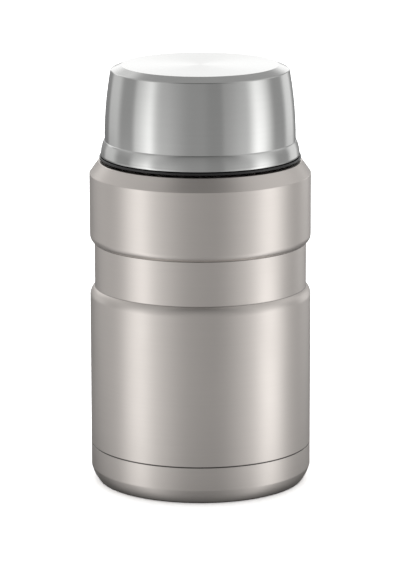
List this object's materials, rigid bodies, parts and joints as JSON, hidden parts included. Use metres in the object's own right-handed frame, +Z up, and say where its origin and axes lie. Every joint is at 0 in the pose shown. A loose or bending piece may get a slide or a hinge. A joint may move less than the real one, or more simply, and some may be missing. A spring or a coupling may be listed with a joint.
{
  "type": "insulated food jar",
  "caption": "Double-walled steel vacuum food jar with a grip band, a screw-in insulated stopper with a vent button, and a screw-on steel lid that serves as a bowl.",
  "frame": {"origin": "middle of the base, on the surface that the jar stands on", "axes": "+Z up along the jar's axis; +X to the right of the pictured front, which faces -Y"},
  "size_m": [0.102, 0.102, 0.1946],
  "materials": {
    "body_steel": "fine vertical-lit brushed satin, warm grey",
    "lid_steel": "polished, slightly brushed, neutral grey",
    "vessel_steel": "electropolished",
    "base_steel": "satin",
    "foil": "bright foil",
    "getter": "sintered, matt",
    "sealing_glass": "fused glass solder",
    "black_plastic": "moulded, fine texture",
    "plug_plastic": "moulded, smooth",
    "ring_plastic": "moulded, satin",
    "foam": "rigid foam",
    "silicone": "silicone rubber, matt",
    "button_plastic": "moulded, satin",
    "spring_steel": "drawn wire"
  },
  "bodies": {
    "jar": {"body_shell": "body_steel", "base_cup": "base_steel", "inner_vessel": "vessel_steel", "reflecting_foil": "foil", "getter": "getter", "sealing_bead": "sealing_glass", "bottom_plate": "base_steel"},
    "gasket": {"stopper_gasket": "silicone"},
    "stopper": {"stopper_cap": "black_plastic", "stopper_plug": "plug_plastic", "stopper_foam": "foam", "vent_spring": "spring_steel"},
    "vent": {"vent_button": "button_plastic", "vent_seal": "silicone"},
    "lid_seal": {"bowl_seal": "silicone"},
    "bowl_lid": {"bowl_shell": "lid_steel", "bowl_liner": "vessel_steel", "bowl_ring": "ring_plastic"}
  },
  "joints": [
    {"name": "stopper_rise", "type": "slide", "parent": "jar", "child": "gasket", "axis": [0, 0, 1], "range_m": [0, 0.0226]},
    {"name": "stopper_turn", "type": "hinge", "parent": "gasket", "child": "stopper", "pos_m": [0, 0, 0.16], "axis": [0, 0, 1], "range_deg": [0, 540]},
    {"name": "vent_press", "type": "slide", "parent": "stopper", "child": "vent", "axis": [0, 0, 1], "range_m": [-0.002, 0], "stiffness_N_per_m": 400, "springref_m": 0.001, "deforming": ["vent_spring"]},
    {"name": "bowl_rise", "type": "slide", "parent": "stopper", "child": "lid_seal", "axis": [0, 0, 1], "range_m": [0, 0.0159]},
    {"name": "bowl_turn", "type": "hinge", "parent": "lid_seal", "child": "bowl_lid", "pos_m": [0, 0, 0.17], "axis": [0, 0, 1], "range_deg": [0, 380]}
  ],
  "couplings": [
    {"joint": "stopper_rise", "follows": "stopper_turn", "m_per_rad": 0.0023873},
    {"joint": "bowl_rise", "follows": "bowl_turn", "m_per_rad": 0.0023873}
  ]
}
